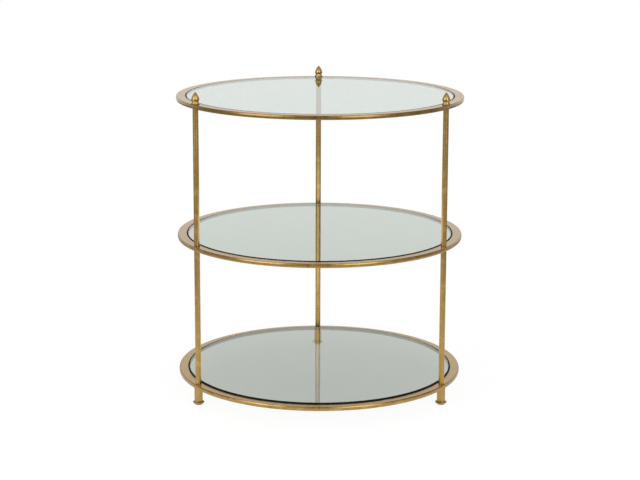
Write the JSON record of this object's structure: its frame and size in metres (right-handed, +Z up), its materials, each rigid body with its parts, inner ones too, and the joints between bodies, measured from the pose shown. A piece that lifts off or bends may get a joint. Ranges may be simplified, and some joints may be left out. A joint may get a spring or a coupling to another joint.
{
  "type": "tiered side table",
  "caption": "Round side table: stacked metal rings with inset glass panes, held apart by slim tube posts with pointed finials and turned feet.",
  "frame": {"origin": "on the floor below the centre of the rings", "axes": "+Z up through the centre of the rings; -Y is the front, between the two front posts; the single back post stands at +Y"},
  "size_m": [0.56, 0.5622, 0.6096],
  "materials": {
    "antique_gold": "antique gold finish on steel, satin",
    "pane_glass": "clear float glass with a faint grey-green tint, polished",
    "glazing_strip": "matt black",
    "zinc_steel": "zinc plated",
    "floor_pad": "matt"
  },
  "bodies": {
    "frame": {"bottom_ring": "antique_gold", "bottom_glazing_strip": "glazing_strip", "bottom_joining_studs": "zinc_steel", "middle_ring": "antique_gold", "middle_glazing_strip": "glazing_strip", "middle_joining_studs": "zinc_steel", "top_ring": "antique_gold", "top_glazing_strip": "glazing_strip", "top_joining_studs": "zinc_steel", "lower_post_back": "antique_gold", "lower_post_front_left": "antique_gold", "lower_post_front_right": "antique_gold", "lower_post_bottom_plugs": "zinc_steel", "lower_post_top_plugs": "zinc_steel", "upper_post_back": "antique_gold", "upper_post_front_left": "antique_gold", "upper_post_front_right": "antique_gold", "upper_post_bottom_plugs": "zinc_steel", "upper_post_top_plugs": "zinc_steel", "finial_back": "antique_gold", "foot_back": "antique_gold", "glide_back": "floor_pad", "finial_front_left": "antique_gold", "foot_front_left": "antique_gold", "glide_front_left": "floor_pad", "finial_front_right": "antique_gold", "foot_front_right": "antique_gold", "glide_front_right": "floor_pad"},
    "bottom_pane": {"bottom_glass_pane": "pane_glass"},
    "middle_pane": {"middle_glass_pane": "pane_glass"},
    "top_pane": {"top_glass_pane": "pane_glass"}
  },
  "joints": [
    {"name": "bottom_pane_lift", "type": "slide", "parent": "frame", "child": "bottom_pane", "axis": [0, 0, 1], "range_m": [0, 0.25]},
    {"name": "middle_pane_lift", "type": "slide", "parent": "frame", "child": "middle_pane", "axis": [0, 0, 1], "range_m": [0, 0.25]},
    {"name": "top_pane_lift", "type": "slide", "parent": "frame", "child": "top_pane", "axis": [0, 0, 1], "range_m": [0, 0.25]}
  ]
}
